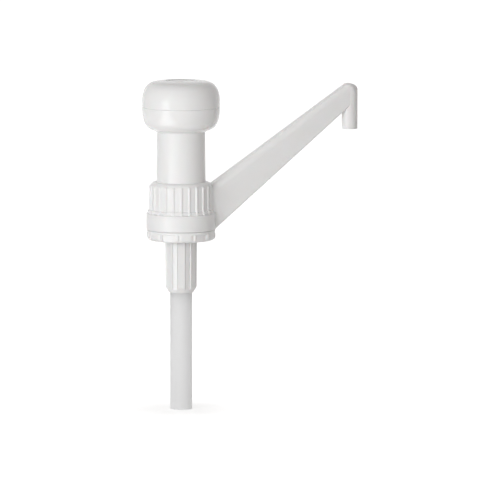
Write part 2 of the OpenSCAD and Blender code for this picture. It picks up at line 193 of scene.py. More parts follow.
def surface(tree, shader):
    tree.node("ShaderNodeOutputMaterial", None, {"Surface": shader})


print("nodes are written as sums")

# %% [markdown]
# The visible mouldings are white polypropylene. The real surface is a satin from a fine-blasted
# mould: a grain of about a third of a millimetre, slow waves where the wall has shrunk, faint
# streaks where the melt flowed, and a few rubbed places that are glossier. A plain white with one
# roughness would look like paper, so all four go into roughness and bump, and only a trace of
# them goes into the colour. The knob comes from a polished mould, and shows a clearer reflection.
# %% White polypropylene
def white_polypropylene(name, smoothest, roughest):
    made = bpy.data.materials.new(name)
    tree = new_tree(made)
    place = in_mm(tree)
    grain = noise(tree, place, 0.35, 3)
    waves = noise(tree, place, 14, 2)
    flow = noise(tree, in_mm(tree, (1, 1, 0.12)), 2.2, 4, 0.6)
    rubbed = noise(tree, place, 5, 5, 0.65)
    rubbed = tree.node("ShaderNodeValToRGB",
                       {"stops": [(0.52, (0, 0, 0, 1)), (0.72, (1, 1, 1, 1))]}, {"Fac": rubbed})
    tint = waves * 0.6 + flow * 0.4
    colour = between(tree, (0.848, 0.848, 0.847), (0.876, 0.876, 0.875), tint)
    rough = swing(waves, smoothest, roughest) + grain * 0.05 - rubbed * 0.04
    relief = grain * 0.5 + flow * 0.2 + waves * 0.7
    normal = tree.node("ShaderNodeBump", None,
                       {"Strength": 0.12, "Distance": 0.00012, "Height": relief})
    surface(tree, tree.node("ShaderNodeBsdfPrincipled", None,
                            {"Base Color": colour, "Roughness": rough, "IOR": 1.49,
                             "Subsurface Weight": 0.06, "Subsurface Scale": 0.002,
                             "Normal": normal}))
    return made


WHITE = white_polypropylene("white_polypropylene", 0.3, 0.37)
POLISHED = white_polypropylene("polished_polypropylene", 0.1, 0.15)
print("made", WHITE.name, POLISHED.name)

# %% [markdown]
# The inner pieces are the same plastic without pigment, a cloudy off-white with a softer gloss
# than the white mouldings. The dip tube is extruded polyethylene, with fine lines along its length
# from the die. It is milky: light that falls on its far side comes through, so that it stays pale
# where the white mouldings turn grey. A Translucent shader mixed into the plain one does that, at
# less cost than real scattering inside the wall.
# %% Natural plastic and milky tube
def natural_polypropylene():
    made = bpy.data.materials.new("natural_polypropylene")
    tree = new_tree(made)
    place = in_mm(tree)
    cloud = noise(tree, place, 6, 4, 0.6)
    grain = noise(tree, place, 0.4, 3)
    colour = between(tree, (0.7, 0.695, 0.66), (0.79, 0.785, 0.75), cloud)
    normal = tree.node("ShaderNodeBump", None,
                       {"Strength": 0.12, "Distance": 0.0001, "Height": grain + cloud})
    surface(tree, tree.node("ShaderNodeBsdfPrincipled", None,
                            {"Base Color": colour, "Roughness": swing(cloud, 0.36, 0.5),
                             "Subsurface Weight": 0.15, "Subsurface Scale": 0.002,
                             "Normal": normal}))
    return made


def milky_polyethylene():
    made = bpy.data.materials.new("milky_polyethylene")
    tree = new_tree(made)
    lines = noise(tree, in_mm(tree, (1, 1, 0.01)), 0.7, 4, 0.6)
    cloud = noise(tree, in_mm(tree, (1, 1, 0.4)), 9, 3)
    share = lines * 0.45 + cloud * 0.55
    colour = between(tree, (0.86, 0.86, 0.865), (0.93, 0.93, 0.93), share)
    normal = tree.node("ShaderNodeBump", None,
                       {"Strength": 0.15, "Distance": 0.00012, "Height": lines + cloud * 0.5})
    skin = tree.node("ShaderNodeBsdfPrincipled", None,
                     {"Base Color": colour, "Roughness": swing(share, 0.38, 0.52),
                      "Normal": normal})
    through = tree.node("ShaderNodeBsdfTranslucent", None, {"Color": (0.87, 0.87, 0.87, 1)})
    surface(tree, tree.node("ShaderNodeMixShader", None, {0: 0.62, 1: skin, 2: through}))
    return made


NATURAL = natural_polypropylene()
MILKY = milky_polyethylene()
print("made", NATURAL.name, MILKY.name)

# %% [markdown]
# Seals are black rubber: dull, with a fine bloom that lightens it in patches. Spring wire and
# balls are stainless steel. Drawn wire has fine lines, so its roughness changes quickly one way.
# %% Rubber and steel
def seal_rubber():
    made = bpy.data.materials.new("seal_rubber")
    tree = new_tree(made)
    place = in_mm(tree)
    bloom = noise(tree, place, 3, 5, 0.65)
    grain = noise(tree, place, 0.25, 2)
    colour = between(tree, (0.018, 0.018, 0.018), (0.05, 0.049, 0.047), bloom)
    normal = tree.node("ShaderNodeBump", None,
                       {"Strength": 0.2, "Distance": 0.0001, "Height": grain})
    surface(tree, tree.node("ShaderNodeBsdfPrincipled", None,
                            {"Base Color": colour, "Roughness": swing(bloom, 0.5, 0.72),
                             "Normal": normal}))
    return made


def stainless_steel():
    made = bpy.data.materials.new("stainless_steel")
    tree = new_tree(made)
    drawn = noise(tree, in_mm(tree, (1, 1, 8)), 1.2, 4, 0.6)
    stain = noise(tree, in_mm(tree), 4, 3)
    colour = between(tree, (0.52, 0.52, 0.53), (0.68, 0.68, 0.68), stain)
    normal = tree.node("ShaderNodeBump", None,
                       {"Strength": 0.1, "Distance": 0.00005, "Height": drawn})
    surface(tree, tree.node("ShaderNodeBsdfPrincipled", None,
                            {"Base Color": colour, "Metallic": 1.0,
                             "Roughness": swing(drawn, 0.2, 0.36), "Normal": normal}))
    return made


RUBBER = seal_rubber()
STEEL = stainless_steel()
FINISH = {"white_plastic": WHITE, "natural_plastic": NATURAL, "tube_plastic": MILKY,
          "rubber": RUBBER, "steel": STEEL}
print("finishes:", ", ".join(FINISH))

# %% [markdown]
# The solids that stay inside the pump keep their own shape. Each only gets the finish of its
# material slot, and each that isn't steel a small bevel, because no moulding has a knife edge. A
# modifier leaves the mesh itself as it was packed.
# %% Finish the inner solids
slot_of = {row["node"]: row["material_slot"] for row in frame["record"]["subparts"]}
for node, solid in frame["nodes"].items():
    if solid.material_slots:
        for slot in solid.material_slots:
            slot.material = FINISH[slot_of[node]]
    else:
        solid.data.materials.append(FINISH[slot_of[node]])
    if slot_of[node] != "steel":
        edge = solid.modifiers.new("eased edges", "BEVEL")
        edge.width = 0.2 * MM
        edge.segments = 2
        edge.limit_method = "ANGLE"
        edge.angle_limit = math.radians(40)
print("finished", len(frame["nodes"]), "solids")

# %% [markdown]
# Most of the pump is turned, so one function makes a solid of revolution from a closed outline.
# Blender's Spin or Screw would do it too, but here the ring of points can also be pushed in or
# out at each angle, which makes ribs, grip pads and flutes as real geometry. Corners of the
# outline are eased first, because it is the soft edge that catches the light.
# %% Turning
def bow(x, z, radius, start, end, steps=16):
    """Points of an arc, angles in degrees."""
    turn = [math.radians(start + (end - start) * i / steps) for i in range(steps + 1)]
    return [(x + radius * math.cos(a), z + radius * math.sin(a)) for a in turn]


def eased(outline, steps=4):
    """A closed outline whose corners (r, z, ease) are rounded; points (r, z) stay as they are."""
    done = []
    for i, point in enumerate(outline):
        if len(point) == 2:
            done.append(point)
            continue
        corner = Vector(point[:2])
        before = Vector(outline[i - 1][:2]) - corner
        after = Vector(outline[(i + 1) % len(outline)][:2]) - corner
        start = corner + before.normalized() * min(point[2], 0.45 * before.length)
        end = corner + after.normalized() * min(point[2], 0.45 * after.length)
        for k in range(steps + 1):
            t = k / steps
            done.append(tuple(start * (1 - t) ** 2 + corner * 2 * t * (1 - t) + end * t ** 2))
    return done


def step_between(value, low, high):
    """A smooth step from 0 at low to 1 at high."""
    t = np.clip((value - low) / (high - low), 0, 1)
    return t * t * (3 - 2 * t)


def piece_from(name, points, faces, sharp=38):
    """A mesh object from points in millimetres, with its faces turned outward."""
    mesh = bpy.data.meshes.new(name)
    mesh.from_pydata((np.asarray(points, float) * MM).tolist(), [], faces)
    work = bmesh.new()
    work.from_mesh(mesh)
    bmesh.ops.recalc_face_normals(work, faces=work.faces)
    work.to_mesh(mesh)
    work.free()
    mesh.shade_smooth()
    mesh.set_sharp_from_angle(angle=math.radians(sharp))
    made = bpy.data.objects.new(name, mesh)
    scene.collection.objects.link(made)
    return made


def turned(name, outline, sides, shape=None):
    """A solid of revolution about the pump's axis. shape(r, z, angle) may move the radii."""
    line = np.array(eased(outline))
    angle = np.arange(sides) * 2 * math.pi / sides
    r = np.repeat(line[:, :1], sides, 1)
    z = np.repeat(line[:, 1:], sides, 1)
    if shape:
        r = shape(r, z, np.repeat(angle[None, :], len(line), 0))
    points, rows = [], []
    for i in range(len(line)):
        if line[i, 0] < 1e-6:
            rows.append([len(points)] * sides)
            points.append((0, 0, line[i, 1]))
        else:
            rows.append(list(range(len(points), len(points) + sides)))
            points += list(zip(r[i] * np.cos(angle), r[i] * np.sin(angle), z[i]))
    faces = []
    for i, low in enumerate(rows):
        high = rows[(i + 1) % len(rows)]
        for k in range(sides):
            m = (k + 1) % sides
            ring = list(dict.fromkeys((low[k], low[m], high[m], high[k])))
            if len(ring) > 2:
                faces.append(ring)
    return piece_from(name, points, faces)


def settle(piece, body, slot, *nodes, finish=None):
    """The piece gets its finish, rides on its body and stands for these solids."""
    piece.data.materials.append(finish or FINISH[slot])
    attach(piece, body)
    if nodes:
        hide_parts(*nodes)
    print(piece.name, "has", len(piece.data.polygons), "faces")


print("turning is ready")

# %% [markdown]
# The knob is two mouldings that snap together at mid height, which leaves the fine dark line
# round it. Its sides are a run of arcs, each tangent to the next, so the outline is written with
# arcs and not with a spline. The top has a shallow dish for the palm, with the mark of the gate,
# where the plastic entered the mould, at its centre.
# %% Knob, upper half
knob_low, knob_high = (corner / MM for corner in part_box("knob_bowl"))
knob_r, split = knob_high.x, knob_high.z
KNOB_SIDES = 160
WALL = 2.4
CROWN_SIDE_R = 19.6
CROWN_EDGE_R = 9.4
DOME_R = 49
CROWN_SIDE_END = 28
CROWN_EDGE_END = 80
ROD_SOCKET_R = 6.05
BOSS_R = 9
PLUG_IN_R = 25.9
PLUG_OUT_R = 27.4
side_top = split + 5.4
crown_x = (knob_r - CROWN_SIDE_R
           + (CROWN_SIDE_R - CROWN_EDGE_R) * math.cos(math.radians(CROWN_SIDE_END)))
crown_z = side_top + (CROWN_SIDE_R - CROWN_EDGE_R) * math.sin(math.radians(CROWN_SIDE_END))
dome_x = crown_x + (CROWN_EDGE_R - DOME_R) * math.cos(math.radians(CROWN_EDGE_END))
dome_z = crown_z + (CROWN_EDGE_R - DOME_R) * math.sin(math.radians(CROWN_EDGE_END))
knob_top = dome_z + DOME_R
ceiling = knob_top - WALL
boss_low = split + 8.4
plug_low = split - 4
dish = knob_top - 0.6
gate_mark = [(1.9, dish, 0.1), (1.7, dish - 0.18, 0.1), (1.3, dish - 0.18, 0.1),
             (1.1, dish + 0.06, 0.1), (0, dish + 0.06)]


def crown_line(inset):
    """Outline from the straight side up to the flat top, moved inward."""
    return (bow(knob_r - CROWN_SIDE_R, side_top, CROWN_SIDE_R - inset, 0, CROWN_SIDE_END)
            + bow(crown_x, crown_z, CROWN_EDGE_R - inset, CROWN_SIDE_END, CROWN_EDGE_END)[1:]
            + bow(dome_x, dome_z, DOME_R - inset, CROWN_EDGE_END, 90, 6)[1:-1])


knob_crown = turned("knob_crown", [
    (0, ceiling), (ROD_SOCKET_R, ceiling), (ROD_SOCKET_R, boss_low, 0.2), (BOSS_R, boss_low, 0.3),
    (BOSS_R, ceiling, 0.6),
    *reversed(crown_line(WALL)),
    (knob_r - WALL, split + 2.5, 0.4), (PLUG_IN_R, split + 1, 0.3), (PLUG_IN_R, plug_low, 0.3),
    (PLUG_OUT_R, plug_low, 0.5), (PLUG_OUT_R, split, 0.1), (knob_r, split, 0.45),
    *crown_line(0),
    (dome_x, knob_top, 0.5), (dome_x - 0.8, dish, 0.5),
    *gate_mark], sides=KNOB_SIDES)
settle(knob_crown, "plunger", "white_plastic", "knob_cap", finish=POLISHED)

# %% [markdown]
# The lower half turns in under the knob and ends in a round lip that slides over the tower with
# a third of a millimetre to spare.
# %% Knob, lower half
BOWL_SIDE_R = 32
BOWL_EDGE_R = 10.2
BOWL_SIDE_END = -17
BOWL_EDGE_END = -78
MOUTH_R = 19.2
side_low = split - 1.6
bowl_x = (knob_r - BOWL_SIDE_R
          + (BOWL_SIDE_R - BOWL_EDGE_R) * math.cos(math.radians(BOWL_SIDE_END)))
bowl_z = side_low + (BOWL_SIDE_R - BOWL_EDGE_R) * math.sin(math.radians(BOWL_SIDE_END))


def bowl_line(inset):
    """Outline from the straight side down to the lip, moved inward."""
    return (bow(knob_r - BOWL_SIDE_R, side_low, BOWL_SIDE_R - inset, 0, BOWL_SIDE_END, 10)
            + bow(bowl_x, bowl_z, BOWL_EDGE_R - inset, BOWL_SIDE_END, BOWL_EDGE_END)[1:])


knob_underside = turned("knob_underside", [
    (knob_r - WALL, split, 0.1), (knob_r, split, 0.45),
    *bowl_line(0),
    (MOUTH_R + 0.4, knob_low.z, 0.5), (MOUTH_R, knob_low.z + 0.4, 0.3),
    (MOUTH_R, knob_low.z + 2.9, 0.3),
    *reversed(bowl_line(WALL))], sides=KNOB_SIDES)
settle(knob_underside, "plunger", "white_plastic", "knob_bowl", finish=POLISHED)

# %% [markdown]
# The tower is the pump's cylinder. It is a plain tube with a slight taper, so that it leaves its
# mould. The step inside its mouth holds the rod's guide, and the foot and the ring on its
# outside are what the base plate and the collar grip.
# %% Tower
CYLINDER_R = 16.5
TOWER_R = 18.9
TOWER_TOP_R = 18.44
FOOT_R = 21.9
FOOT_LOW, FOOT_HIGH = 5.05, 8
GRIP_R = 20.9
GRIP_LOW, GRIP_HIGH = 22.35, 24.75
GUIDE_R = 17.2
GUIDE_LOW = 59
COLLAR_TOP = 27.3
tower_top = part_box("pump_cylinder")[1].z / MM
tower_tube = turned("tower_tube", [
    (CYLINDER_R, FOOT_LOW, 0.2), (FOOT_R, FOOT_LOW, 0.3), (FOOT_R, FOOT_HIGH, 0.3),
    (TOWER_R, FOOT_HIGH, 0.4), (TOWER_R, GRIP_LOW, 0.3), (GRIP_R, GRIP_LOW, 0.3),
    (GRIP_R, GRIP_HIGH, 0.3), (TOWER_R, GRIP_HIGH, 0.2), (TOWER_R, COLLAR_TOP),
    (TOWER_TOP_R, tower_top, 0.6), (GUIDE_R, tower_top, 0.3), (GUIDE_R, GUIDE_LOW, 0.2),
    (CYLINDER_R, GUIDE_LOW, 0.2)], sides=128)
settle(tower_tube, "pump", "white_plastic", "pump_cylinder")

# %% [markdown]
# The collar joins everything: a skirt over the screw ring, and an upright wall with narrow ribs
# for the hand. The wall is thicker at its foot, where it goes round the deck inside, and the ribs
# run down over that to the edge of the skirt. They stop short of the arm on both sides. A bump
# texture would not change the outline, so the ribs push the turned points out, and each fades
# into the wall at its upper end. Two small hooks inside hold the deck and the screw ring.
# %% Ribbed collar
COLLAR_R = 23.7
SKIRT_R = 26.75
SKIRT_LOW = -9.5
SKIRT_IN_R = 25.1
COLLAR_IN_R = 22
DECK_ROOM_R = 24.05
DECK_LOW, DECK_TOP = 1.95, 5
DECK_HOOK_R = 23.6
RING_HOOK_R = 24.5
SKIRT_TOP_R = SKIRT_R - 0.3
SKIRT_TOP = 3.0
FOOT_WALL_R = 24.88
ROUND_R = 3.9
ROUND_Z = 23.4
WEB_LOW = 24.8
RIBS = 24
RIB_R = 1.3
RIB_SUNK = 0.4
RIB_HEAD = (24.3, 25.2)
RIB_STEP = (5.3, 6.4)
RIB_SHARE = (0.9, 1)
RIB_FREE = math.radians(20)
EDGE_SLACK = 0.12
shoulder = bow(COLLAR_R - ROUND_R, ROUND_Z, ROUND_R, 0, 90, 14)
foot_line = [(SKIRT_TOP_R, SKIRT_TOP), (25.6, 3.12), (25.25, 3.3), (25.05, 3.5), (24.93, 3.8),
             (24.88, 4.2), (24.86, 4.8), (24.85, 5.3), (24.72, 5.45), (24.45, 5.7),
             (24.08, 5.95), (23.82, 6.15), (COLLAR_R, 6.4)]


def collar_edge(z):
    """Radius of the collar's outside at a height."""
    over = np.sqrt(np.clip(ROUND_R ** 2 - (z - ROUND_Z) ** 2, 0, None)) + COLLAR_R - ROUND_R
    below = np.interp(z, [p[1] for p in foot_line], [p[0] for p in foot_line])
    return np.where(z > ROUND_Z, over, below)


def ribbed(r, z, angle):
    """Radii with the ribs added on the outside of the wall, lower where the wall is thicker."""
    pitch = 2 * math.pi / RIBS
    nearest = np.round(angle / pitch) * pitch
    across = (angle - nearest) * COLLAR_R
    rise = np.clip(np.sqrt(np.clip(RIB_R ** 2 - across ** 2, 0, None)) - RIB_SUNK, 0, None)
    from_arm = np.abs((nearest + math.pi) % (2 * math.pi) - math.pi)
    height = np.interp(z, RIB_STEP, RIB_SHARE) * (1 - step_between(z, *RIB_HEAD))
    crest = np.maximum(r, np.minimum(r, FOOT_WALL_R) + rise * height)
    outside = r > collar_edge(z) - EDGE_SLACK
    return np.where(outside & (from_arm > RIB_FREE), crest, r)


ribbed_collar = turned("ribbed_collar", [
    (SKIRT_IN_R, SKIRT_LOW, 0.1), (SKIRT_R, SKIRT_LOW, 0.2), (SKIRT_R, SKIRT_TOP - 0.4, 0.3),
    *foot_line,
    *shoulder,
    (TOWER_R + 0.05, COLLAR_TOP, 0.2), (TOWER_R + 0.05, WEB_LOW, 0.2), (COLLAR_IN_R, WEB_LOW, 0.3),
    (COLLAR_IN_R, DECK_TOP, 0.2), (DECK_ROOM_R, DECK_TOP, 0.1), (DECK_ROOM_R, DECK_LOW, 0.1),
    (DECK_HOOK_R, 1.8, 0.1), (DECK_HOOK_R, 1.2, 0.1), (SKIRT_IN_R, 0.5, 0.1),
    (SKIRT_IN_R, -2.1, 0.1), (RING_HOOK_R, -2.4, 0.1), (RING_HOOK_R, -4, 0.1),
    (SKIRT_IN_R, -4.6, 0.1)], sides=576, shape=ribbed)
settle(ribbed_collar, "pump", "white_plastic", "collar_body")

# %% [markdown]
# The arm is the one form that isn't turned: a flat-sided wedge that ends in a round, down-turned
# nozzle, with its top curling over the end. Booleans and a bevel could make it, but the bevel
# breaks up where the flat side runs into the nozzle. Here it is written as a distance: below
# zero inside, above zero outside. Two such distances are joined with a rounded corner by one
# small formula, so every edge gets its radius, wherever the faces meet.
# %% The arm as a distance
REACH = 135.3
NOZZLE_R = 6.1
BORE_R = 4.1
ARM_WALL = 1.8
RISE_TOP = math.radians(34.5)
RISE_LOW = math.radians(40.3)
ROOT_X = 24.5
ROOT_TOP = 25.4
ROOT_LOW = -10.2
ROOT_HALF = 7.8
NARROWING = 1.85 / 110.8
NOZZLE_DROP = 14.2
CURL_R = 6.9
CURL_X = REACH - 0.5
CURL_Z = ROOT_TOP + (CURL_X - ROOT_X) * math.tan(RISE_TOP) - CURL_R / math.cos(RISE_TOP)
NOZZLE_Z = ROOT_LOW + (REACH - NOZZLE_R - ROOT_X) * math.tan(RISE_LOW) - NOZZLE_DROP


def both(a, b, radius):
    """What lies in both forms, with the corner between them rounded off."""
    return (np.minimum(np.maximum(a, b), -radius)
            + np.hypot(np.maximum(a + radius, 0), np.maximum(b + radius, 0)))


def either(a, b, radius):
    """What lies in either form, with the corner between them filled."""
    return (np.maximum(np.minimum(a, b), radius)
            - np.hypot(np.maximum(radius - a, 0), np.maximum(radius - b, 0)))


def arm_distance(x, y, z):
    """The arm's walls, its nozzle and its hollow, cut off where the collar starts."""
    side = np.abs(y)
    flank = side - (ROOT_HALF - NARROWING * (x - ROOT_X))
    under = (ROOT_LOW + (x - ROOT_X) * math.tan(RISE_LOW) - z) * math.cos(RISE_LOW)
    along = (x - CURL_X) * math.cos(RISE_TOP) + (z - CURL_Z) * math.sin(RISE_TOP)
    above = (z - CURL_Z) * math.cos(RISE_TOP) - (x - CURL_X) * math.sin(RISE_TOP)
    curl = np.hypot(x - CURL_X, np.maximum(z - CURL_Z, 0)) - 0.8 * np.maximum(CURL_Z - z, 0)
    top = np.where(along < 0, above, curl) - CURL_R
    barrel = np.hypot(x - REACH, y)
    blade = np.maximum(both(flank, under, 1.1), x - REACH)
    fillet = 0.02 + 0.7 * (1 - step_between(side, 4.2, 5.9))
    nozzle = both(barrel - NOZZLE_R, NOZZLE_Z - z, 0.5)
    crown = np.interp(x, (30, REACH), (5.6, 4.2))
    solid = both(either(blade, nozzle, fillet), top, crown * step_between(side, 1.5, 5))
    bore = np.maximum(barrel - BORE_R, z - CURL_Z - 2.5)
    solid = both(solid, -bore, 0.4)
    hollow = np.maximum(both(flank + ARM_WALL, top + ARM_WALL, crown - ARM_WALL),
                        np.maximum(under, x - REACH + 1.7) + ARM_WALL)
    solid = np.maximum(solid, -hollow)
    return np.maximum(solid, collar_edge(z) - 0.6 - np.hypot(x, y))


print("the nozzle's mouth is at", round(NOZZLE_Z, 1), "mm")

# %% [markdown]
# To get a mesh from the distance, space is cut into cells of half a millimetre. Each cell that
# the surface passes through gets one point, and each edge of the lattice that it crosses joins
# the four points around it into a face. The points then slide onto the surface itself, along the
# slope of the distance, and the same slope gives exact normals, so flat sides shade flat.
# %% From distance to mesh
def slope(field, p, reach=0.02):
    """How fast the distance grows along each axis."""
    steps = np.eye(3) * reach
    return np.stack([(field(*(p + s).T) - field(*(p - s).T)) / (2 * reach) for s in steps], 1)


def net_of(field, low, high, cell):
    """Points, faces and normals of the surface where the field is zero."""
    axes = [np.arange(a, b + cell, cell) for a, b in zip(low, high)]
    value = field(*np.meshgrid(*axes, indexing="ij"))
    inside = value < 0
    corners = [(i, j, k) for i in (0, 1) for j in (0, 1) for k in (0, 1)]
    size = [n - 1 for n in value.shape]

    def part(grid, c):
        return grid[c[0]:c[0] + size[0], c[1]:c[1] + size[1], c[2]:c[2] + size[2]]

    filled = sum(part(inside, c).astype(np.int8) for c in corners)
    cells = np.argwhere((filled > 0) & (filled < 8))
    number = np.full(size, -1)
    number[tuple(cells.T)] = np.arange(len(cells))
    total, count = np.zeros((len(cells), 3)), np.zeros((len(cells), 1))
    for a in corners:
        for axis in range(3):
            if a[axis]:
                continue
            b = tuple(1 if n == axis else a[n] for n in range(3))
            va, vb = (value[tuple((cells + c).T)] for c in (a, b))
            hit = (va < 0) != (vb < 0)
            share = va[hit] / (va[hit] - vb[hit])
            total[hit] += np.array(a) + share[:, None] * (np.array(b) - np.array(a))
            count[hit] += 1
    points = np.array(low) + cell * (cells + total / count)
    faces = []
    for axis in range(3):
        one, two = [n for n in range(3) if n != axis]
        ahead = np.take(inside, range(1, inside.shape[axis]), axis)
        here = np.take(inside, range(inside.shape[axis] - 1), axis)
        crossed = np.argwhere(here != ahead)
        crossed = crossed[(crossed[:, one] > 0) & (crossed[:, two] > 0)]
        ring = []
        for da, db in ((1, 1), (0, 1), (0, 0), (1, 0)):
            at = crossed.copy()
            at[:, one] -= da
            at[:, two] -= db
            ring.append(number[tuple(at.T)])
        faces.append(np.stack(ring, 1))
    for _ in range(6):
        grade = slope(field, points)
        move = field(*points.T)[:, None] * grade / np.clip((grade ** 2).sum(1), 0.2, None)[:, None]
        points = points - np.clip(move, -0.3 * cell, 0.3 * cell)
    normal = slope(field, points)
    normal /= np.linalg.norm(normal, axis=1)[:, None]
    return points, np.concatenate(faces).tolist(), normal


ARM_LOW = (20, -8.6, -12)
ARM_HIGH = (142.6, 8.6, 104)
CELL = 0.5
points, faces, normals = net_of(arm_distance, ARM_LOW, ARM_HIGH, CELL)
spout = piece_from("spout", points, faces, sharp=60)
spout.data.normals_split_custom_set_from_vertices(normals.tolist())
settle(spout, "pump", "white_plastic", "spout_arm")

# %% [markdown]
# The screw ring is what the hand turns. Below a plain rim its band is cut back between six broad
# pads. Each pad rises from the band by a slope at its left and ends in a step at its right. A low
# lip runs down both of its edges, and it is the lips that show as fine bright and dark lines.
# %% Screw ring
PAD_AT = math.radians(23.9)
PAD_EVERY = math.radians(60)
PAD_HALF = math.radians(16.4)
PAD_RAMP = math.radians(8)
BAND_R = 26.25
BAND_ROUND = 3
BAND_TOP = -9.8
RING_LOW = -17.8
RIM_EDGE = (-12.05, -11.65)
THREAD_R = 22.8
SLEEVE_R = 24.2
CATCH_R = 24.8
PAD_DEEP = 1.1
LIP_AT = [math.radians(d) for d in (0, 1.3, 4.0, 9)]
LIP_HIGH = (0.1, 0.3, -0.5, 0)


def gripped(r, z, angle):
    """Radii cut back between the pads, which have a ramp, a step and a lip along both edges."""
    off = (angle - PAD_AT + PAD_EVERY / 2) % PAD_EVERY - PAD_EVERY / 2
    ramp = step_between(off, -PAD_HALF - PAD_RAMP, -PAD_HALF)
    step = step_between(off, PAD_HALF - math.radians(0.5), PAD_HALF + math.radians(0.7))
    gap = 1 - ramp + step
    lip = np.interp(PAD_HALF - np.abs(off), LIP_AT, LIP_HIGH) * (1 - gap) ** 4
    cut = np.clip(r - BAND_R + PAD_DEEP, 0, None)
    below = 1 - step_between(z, *RIM_EDGE)
    return r + (lip * cut / PAD_DEEP - cut * gap) * below


screw_ring = turned("screw_ring", [
    (THREAD_R, RING_LOW + 0.5, 0.1), (THREAD_R + 0.4, RING_LOW, 0.2),
    *bow(BAND_R - BAND_ROUND, RING_LOW + BAND_ROUND, BAND_ROUND, -90, 0, 12),
    *[(BAND_R, z) for z in (-12.1, -11.95, -11.85, -11.75, -11.6)],
    (BAND_R, BAND_TOP, 0.2), (SLEEVE_R, BAND_TOP, 0.1), (SLEEVE_R, -2.1, 0.1), (CATCH_R, -1.6, 0.1),
    (CATCH_R, -0.7, 0.1), (SLEEVE_R, 0, 0.1), (THREAD_R, 0, 0.1)], sides=720, shape=gripped)
settle(screw_ring, "closure", "white_plastic", "closure_ring")

# %% [markdown]
# Inside the ring runs the thread for the canister's neck: a ridge that climbs a little over two
# turns and fades out at both ends. A ridge is one section carried along a path, so one function
# sweeps any section along a helix. It makes the spring too.
# %% Thread in the screw ring
def swept(name, path, section, sharp=38):
    """A tube round the axis. path gives (radius, height, angle) and section(i) its (out, up)."""
    points, faces = [], []
    for i, (radius, height, angle) in enumerate(path):
        for out, up in section(i):
            points.append(((radius + out) * math.cos(angle), (radius + out) * math.sin(angle),
                           height + up))
    sides = len(section(0))
    last = (len(path) - 1) * sides
    for i in range(len(path) - 1):
        for k in range(sides):
            a, b = i * sides + k, i * sides + (k + 1) % sides
            faces.append((a, b, b + sides, a + sides))
    faces += [tuple(range(sides)), tuple(range(last + sides - 1, last - 1, -1))]
    return piece_from(name, points, faces, sharp)


THREAD_TURNS = 2.2
THREAD_PITCH = 4.0
THREAD_STEPS = 220
THREAD_LOW = -14.6
FADE_STEPS = 12
thread_path = [(THREAD_R, THREAD_LOW + THREAD_PITCH * THREAD_TURNS * i / THREAD_STEPS,
                2 * math.pi * THREAD_TURNS * i / THREAD_STEPS) for i in range(THREAD_STEPS + 1)]


def ridge(i):
    """Section of the thread at a step, shallow near both ends."""
    ends = min(i, THREAD_STEPS - i) / FADE_STEPS
    deep = 0.1 + 1.0 * float(step_between(np.array(ends), 0, 1))
    return [(0.3, -1.1), (-0.7 * deep, -0.75), (-deep, -0.45), (-deep, 0.2), (-0.7 * deep, 0.45),
            (0.3, 0.8)]


thread_ridge = swept("thread_ridge", thread_path, ridge)
settle(thread_ridge, "closure", "white_plastic")

# %% [markdown]
# The inlet housing hangs below the ring. Its outside is fluted: seven channels between seven pads,
# cut right down through the chamfer at its end, where the dip tube goes in. A channel starts with
# a slope at one pad and ends at the steep side of the next, with a fine crease at its foot.
# %% Fluted inlet
inlet_low, inlet_high = (corner.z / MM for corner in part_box("inlet_housing"))
FLUTE_AT = math.radians(-2)
FLUTE_EVERY = 2 * math.pi / 7
SPIGOT_R = 12.3
CHANNEL_R = 10.9
SHANK_R = 12
CHAMFER_R = 10.2
SOCKET_R = 8.55
CHAMBER_R = 9.3
THROAT_R = 4.2
FLUTE_END = (-1, -0.2)
throat = inlet_low + 20


def flat_face(off, half):
    """Share of the radius that a flat face takes off a round one, off being from its middle."""
    return 1 - math.cos(half) / np.cos(np.clip(np.abs(off), 0, half))


def fluted(r, z, angle):
    """Radii with flat pads, flat channels between them and a crease at each pad's steep side."""
    off = (angle - FLUTE_AT + FLUTE_EVERY / 2) % FLUTE_EVERY - FLUTE_EVERY / 2
    edge = FLUTE_EVERY / 4
    degree = math.radians(1)
    channel = (step_between(off, edge - 0.6 * degree, edge + 5 * degree)
               + 1 - step_between(off, -edge - 0.6 * degree, -edge + 0.4 * degree))
    crease = 0.8 * np.clip(1 - np.abs(off + edge + 2.2 * degree) / (2 * degree), 0, None)
    outer = np.clip((r - CHAMFER_R) / (SHANK_R - CHAMFER_R), 0, 1)
    cut = np.clip(r - CHANNEL_R, 0, None)
    pad_flat = SPIGOT_R * flat_face(off, edge) * outer
    floor_flat = CHANNEL_R * flat_face(2 * edge - np.abs(off), edge) * outer
    lower = pad_flat * (1 - channel) + (cut + floor_flat) * channel + crease * cut
    return r - lower * (1 - step_between(z, *FLUTE_END))


fluted_inlet = turned("fluted_inlet", [
    (SOCKET_R, inlet_low, 0.2), (9.4, inlet_low, 0.3), (CHAMFER_R, inlet_low + 1.3),
    (10.7, inlet_low + 2.1), (10.8, inlet_low + 2.26), (SHANK_R, inlet_low + 4.2, 0.5),
    (12.29, -1.2), (12.292, -0.9), (12.294, -0.6), (12.296, -0.2), (SPIGOT_R, inlet_high, 0.3),
    (CHAMBER_R, inlet_high, 0.2), (CHAMBER_R, throat + 7.1, 0.3), (THROAT_R, throat + 2, 0.2),
    (THROAT_R, throat, 0.2), (SOCKET_R, throat, 0.1)], sides=720, shape=fluted)
settle(fluted_inlet, "pump", "white_plastic", "inlet_housing")

